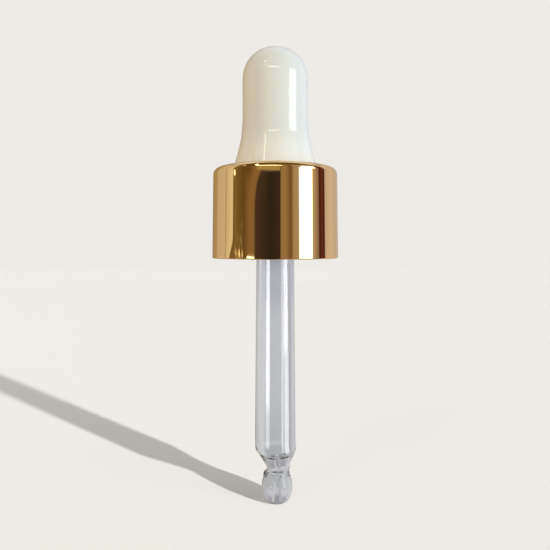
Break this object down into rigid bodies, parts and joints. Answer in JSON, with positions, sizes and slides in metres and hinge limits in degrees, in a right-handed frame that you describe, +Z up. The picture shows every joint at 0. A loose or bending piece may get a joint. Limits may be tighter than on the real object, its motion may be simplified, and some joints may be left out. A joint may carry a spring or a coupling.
{
  "type": "medicine dropper",
  "caption": "Dropper closure with a soft squeeze bulb, a threaded cap in a metal shell and a glass pipette with a ball tip.",
  "frame": {"origin": "the lowest point of the glass tip, on the axis of the dropper", "axes": "+Z up along the axis, from the glass tip to the top of the bulb; X and Y across it"},
  "size_m": [0.0222, 0.0222, 0.0807],
  "materials": {
    "bulb_white": "glossy white soft rubber",
    "shell_gold": "mirror polished gold anodised aluminium",
    "cap_white": "natural white moulded plastic",
    "clear_glass": "clear fire-polished glass"
  },
  "bodies": {
    "cap": {"outer_shell": "shell_gold", "inner_cap": "cap_white"},
    "stem": {"glass_pipette": "clear_glass"},
    "bulb_wall": {"bulb": "bulb_white"}
  },
  "joints": [
    {"name": "cap_turn", "type": "hinge", "parent": "cap", "child": "stem", "pos_m": [0, 0, 0.0521], "axis": [0, 0, 1], "continuous": true},
    {"name": "bulb_squeeze", "type": "slide", "parent": "stem", "child": "bulb_wall", "axis": [-1, 0, 0], "range_m": [0, 0.0036], "stiffness_N_per_m": 1500, "deforming": ["bulb"]}
  ]
}
